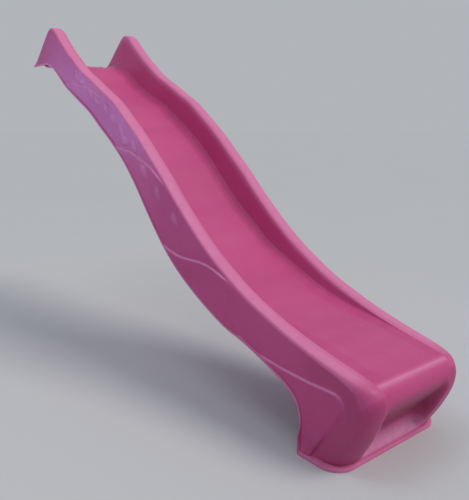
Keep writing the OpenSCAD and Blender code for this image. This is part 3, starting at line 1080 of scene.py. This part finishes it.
@dataclass
class DeckFixing:
    """Four screws through the lip, each with a steel washer, a cap base and a snap-on lid. In millimetres."""

    dx: float = 60.0
    y: float = 100.0
    lip: float = 5.0
    base_t: float = 1.8
    washer_t: float = 1.2
    shank_r: float = 3.0
    thread_h: float = 0.5
    length: float = 45.0
    pitch: float = 3.0
    head_r: float = 6.0
    head_h: float = 3.5
    washer_r: float = 7.0
    cap_r: float = 11.5
    cap_wall: float = 1.4

    @property
    def head_z(self) -> float:
        """Height of the underside of a screw's head."""
        return self.lip + self.base_t + self.washer_t

    def places(self) -> list[Matrix]:
        """Where the four screws stand."""
        half = self.dx / 2
        corners = ((-half, -self.y), (-half, self.y), (half, -self.y), (half, self.y))
        return [
            Matrix.Translation((x * MM, y * MM, 0)) @ Matrix.Rotation(0.6 * n, 4, "Z")
            for n, (x, y) in enumerate(corners)
        ]

    def screws(self) -> Piece:
        """Screws with a rounded head, a hexagonal drive, a wound thread and a point."""
        bm = bmesh.new()
        root, z, r, h = self.shank_r - self.thread_h, self.head_z, self.head_r, self.head_h
        socket, deep = self.shank_r * 0.7, 2.0
        for place in self.places():
            lathe(
                bm,
                [(0, -self.length - 6), (0.5, -self.length - 5.2), (root - 0.3, -self.length - 0.4),
                 (root, -self.length + 1), (root, z - 0.5), (root + 0.4, z), (r - 0.25, z), (r, z + 0.3),
                 (r - 0.15, z + 1.0), (r * 0.86, z + 2.3), (r * 0.66, z + 3.2), (r * 0.5, z + h),
                 (socket + 0.2, z + h), (socket, z + h - 0.2), (socket, z + h - deep),
                 (0, z + h - deep - 0.4)],
                place,
            )  # fmt: skip
            thread(bm, self.shank_r, root, self.pitch, 0.0, -self.length - 1.2, place)
        return finish_mesh(bm, "threaded_deck_screws", 40.0)

    def washers(self) -> Piece:
        """Flat steel washers with softened edges."""
        bm = bmesh.new()
        z, t, r, bore = self.lip + self.base_t, self.washer_t, self.washer_r, self.shank_r + 0.4
        for place in self.places():
            ring(bm, bore, r, z, z + t, 0.2, place)
        return finish_mesh(bm, "flat_deck_washers", 40.0)

    def bases(self) -> Piece:
        """Cap bases with a seat for the washer and a groove that the lid snaps over."""
        bm = bmesh.new()
        z, t, r, seat, bore = self.lip, self.base_t, self.cap_r, self.washer_r + 0.3, self.shank_r + 0.5
        top = z + t + self.washer_t
        profile = [
            (bore, z), (r - 0.3, z), (r, z + 0.3), (r, top - 0.5), (r - 0.35, top), (seat + 0.2, top),
            (seat, top - 0.2), (seat, z + t), (bore, z + t),
        ]  # fmt: skip
        for place in self.places():
            lathe(bm, profile, place, closed=True)
        return finish_mesh(bm, "seated_cap_bases", 40.0)

    def lids(self) -> Piece:
        """Domed lids with a thin wall."""
        bm = bmesh.new()
        z, r, w = self.head_z, self.cap_r, self.cap_wall
        high = self.head_h + 1.2 + w
        turns = np.radians(np.linspace(0, 90, 11))
        outer = [(r * math.cos(a) ** 0.55, 1.4 + (high - 1.4) * math.sin(a) ** 1.1) for a in turns[:-1]]
        outer = [(r - 0.25, 0), (r, 0.3), *outer, (0, high)]
        inner = [(max(x - w, 0) * 0.99, max(h - w, 0)) for x, h in reversed(outer[2:])]
        profile = [(x, z + h) for x, h in outer + inner + [(r - w, 0)]]
        for place in self.places():
            lathe(bm, profile, place)
        return finish_mesh(bm, "domed_cap_lids", 40.0)


# ---------------------------------------------------------------- the ground anchors


@dataclass
class AnchorFix:
    """Sizes of the lugs in the foot, and of the bars, bolts, washers and nuts on them. In millimetres."""

    lug_x: float = 2320.0
    lug_y: float = 95.0
    lug_t: float = 10.0
    lug_h: float = 96.0
    bolt_x: float = 2341.0
    bolt_z: tuple[float, float] = (-1470.0, -1432.0)
    bolt_r: float = 4.0
    pad_t: float = 1.6
    bar_w: float = 30.0
    bar_t: float = 4.0
    bar_l: float = 260.0
    bar_foot: float = 60.0


@dataclass
class GroundAnchors:
    """A galvanised bar on each lug, held by two bolts with their washers and nuts."""

    fix: AnchorFix = field(default_factory=AnchorFix)

    def places(self) -> list[Matrix]:
        """Where the four bolts lie, each with its head towards the middle of the slide."""
        f = self.fix
        return [
            Matrix.Translation((f.bolt_x * MM, sy * f.lug_y * MM, z * MM))
            @ Matrix.Rotation(math.radians(-90 * sy), 4, "X")
            @ Matrix.Rotation(0.5 * n, 4, "Z")
            for n, (sy, z) in enumerate((sy, z) for sy in (-1, 1) for z in f.bolt_z)
        ]

    def bar(self, side: int) -> Piece:
        """One bar: an upright with two holes, a bend and a turned foot.

        Args:
            side: 1 for the left bar and -1 for the right one.

        Returns:
            The finished piece.
        """
        f = self.fix
        bm = bmesh.new()
        near = side * (f.lug_y + f.lug_t / 2)
        low, top, r = GROUND - f.bar_l, GROUND + f.lug_h - 8, 6.0
        x0, x1 = f.bolt_x - f.bar_w / 2, f.bolt_x + f.bar_w / 2
        outline = [(x0, low + 14), (x1, low + 14)]
        for middle, start in ((x1 - r, 0), (x0 + r, 90)):
            for a in np.radians(np.linspace(start, start + 90, 6)):
                outline.append((middle + r * math.cos(a), top - r + r * math.sin(a)))
        holes = [(f.bolt_x, z, f.bolt_r + 0.5) for z in f.bolt_z]
        plate(bm, outline, holes, f.bar_t, min(near, near + side * f.bar_t), 0.5)
        bend, t = 8.0, f.bar_t
        turns = np.radians(np.linspace(180, 270, 8))
        out = [(bend + bend * math.cos(a), bend + bend * math.sin(a)) for a in turns]
        back = [(bend + (bend - t) * math.cos(a), bend + (bend - t) * math.sin(a)) for a in turns[::-1]]
        shape = [(0, 14), *out, (f.bar_foot, 0), (f.bar_foot, t), *back, (t, 14)]
        plate(bm, [(near + side * u, low + v) for u, v in shape], [], f.bar_w, x0, 0.5, along_x=True)
        return finish_mesh(bm, "bent_anchor_left" if side > 0 else "bent_anchor_right", 40.0)

    def bolts(self) -> Piece:
        """Hexagon-headed bolts with a wound thread."""
        f = self.fix
        bm = bmesh.new()
        head, end = -f.lug_t / 2 - f.pad_t, f.lug_t / 2 + f.bar_t + f.pad_t + 9.4
        for place in self.places():
            hexagon(bm, 7.4, head - 4.4, head, place)
            lathe(bm, [(0, head), (3.55, head), (3.55, end - 0.8), (2.8, end), (0, end)], place, steps=32)
            thread(bm, f.bolt_r, 3.5, 1.25, end - 0.4, head + 3, place)
        return finish_mesh(bm, "threaded_anchor_bolts", 40.0)

    def washers(self) -> Piece:
        """Two flat washers on each bolt."""
        f = self.fix
        bm = bmesh.new()
        for place in self.places():
            for low in (-f.lug_t / 2 - f.pad_t, f.lug_t / 2 + f.bar_t):
                ring(bm, f.bolt_r + 0.3, 8.0, low, low + f.pad_t, 0.25, place)
        return finish_mesh(bm, "flat_anchor_washers", 40.0)

    def nuts(self) -> Piece:
        """Hexagon nuts with chamfered ends."""
        f = self.fix
        bm = bmesh.new()
        low = f.lug_t / 2 + f.bar_t + f.pad_t
        for place in self.places():
            hexagon(bm, 7.4, low, low + 6.4, place, f.bolt_r + 0.05)
        return finish_mesh(bm, "chamfered_anchor_nuts", 40.0)


@dataclass
class Studio:
    """Camera, floor and soft lights. Sizes in metres."""

    place: Point = (3.5324, -1.6748, -0.3427)
    azimuth: float = 50.724
    elevation: float = 12.134
    lens: float = 41.934

    @staticmethod
    def stand(thing: Piece, direction: Vector) -> None:
        """Put a camera or a lamp in the scene, facing along a direction."""
        thing.rotation_mode = "QUATERNION"
        thing.rotation_quaternion = direction.to_track_quat("-Z", "Y")
        bpy.context.scene.collection.objects.link(thing)

    def camera(self) -> None:
        """Make the camera level, looking down on the slide from its lower left."""
        a, e = math.radians(self.azimuth), math.radians(self.elevation)
        back = Vector((math.sin(a) * math.cos(e), -math.cos(a) * math.cos(e), math.sin(e)))
        data = bpy.data.cameras.new("camera")
        data.lens, data.sensor_width = self.lens, 36.0
        data.clip_start, data.clip_end = 0.05, 100.0
        camera = bpy.data.objects.new("camera", data)
        camera.location = self.place
        self.stand(camera, -back)
        bpy.context.scene.camera = camera

    def floor(self) -> None:
        """Lay a plain pale floor at ground level."""
        bm = bmesh.new()
        bmesh.ops.create_grid(bm, x_segments=1, y_segments=1, size=150.0)
        bmesh.ops.translate(bm, verts=bm.verts[:], vec=(0, 0, GROUND * MM))
        floor = finish_mesh(bm, "floor")
        sheet = NodeSheet("pale_floor")
        tone = sheet.blend(sheet.noise(0.6), (0.52, 0.54, 0.575), (0.54, 0.56, 0.595))
        sheet.link(tone, sheet.shader.inputs["Base Color"])
        sheet.plain(Roughness=0.9)
        floor.data.materials.append(sheet.material)

    def lamp(self, name: str, place: Point, aim: Point, size: float, power: float, tint: Colour) -> Piece:
        """Add a soft square lamp.

        Args:
            name: The lamp's name.
            place: Where it stands.
            aim: The point it faces.
            size: Side of the lamp.
            power: Watts.
            tint: Colour of its light.

        Returns:
            The lamp.
        """
        data = bpy.data.lights.new(name, "AREA")
        data.size, data.energy, data.color = size, power, tint
        lamp = bpy.data.objects.new(name, data)
        lamp.location = place
        self.stand(lamp, Vector(aim) - Vector(place))
        return lamp

    def lights(self) -> None:
        """Light the slide from above and the far side, with a cool fill from the near side."""
        world = bpy.data.worlds.new("studio")
        world.use_nodes = True
        back = world.node_tree.nodes["Background"]
        back.inputs["Color"].default_value = (0.55, 0.575, 0.61, 1)
        back.inputs["Strength"].default_value = 0.80
        bpy.context.scene.world = world
        bpy.context.scene.view_settings.view_transform = "Standard"
        data = bpy.data.lights.new("key", "SUN")
        data.energy, data.angle, data.color = 1.5, math.radians(28), (1.0, 0.94, 0.84)
        self.stand(bpy.data.objects.new("key", data), Vector((-0.52, -0.38, -0.77)))
        fill = self.lamp("cool_fill", (-1.3, -1.9, 0.0), (0.85, -0.27, -0.32), 0.9, 1.9, (0.30, 0.46, 1.0))
        fill.data.spread = math.radians(44)
        self.lamp("top_soft", (1.3, -1.25, 2.5), (1.3, -0.2, -0.6), 1.4, 15.0, (1.0, 0.96, 0.96))

    def build(self) -> None:
        """Set up the whole studio."""
        self.camera()
        self.floor()
        self.lights()


def main() -> None:
    """Build every sub-assembly in order."""
    finishes = Finishes()
    Studio().build()
    deck, anchors = DeckFixing(), GroundAnchors()
    pieces = [
        ("slide_body", Moulding().build(), finishes.moulding, Slot.MOULDING),
        ("deck_screws", deck.screws(), finishes.stainless, Slot.SCREW),
        ("deck_washers", deck.washers(), finishes.stainless, Slot.SCREW),
        ("cap_bases", deck.bases(), finishes.cap, Slot.CAP),
        ("cap_lids", deck.lids(), finishes.cap, Slot.CAP),
        ("anchor_left", anchors.bar(1), finishes.galvanised, Slot.GALVANISED),
        ("anchor_right", anchors.bar(-1), finishes.galvanised, Slot.GALVANISED),
        ("anchor_bolts", anchors.bolts(), finishes.zinc, Slot.ZINC),
        ("anchor_washers", anchors.washers(), finishes.zinc, Slot.ZINC),
        ("anchor_nuts", anchors.nuts(), finishes.zinc, Slot.ZINC),
    ]
    for node, piece, finish, slot in pieces:
        dress(piece, finish.material())
        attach(piece, "root")
        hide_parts(node)
        log.info("%s: %d faces", piece.name, len(piece.data.polygons))


if __name__ == "__main__":
    main()
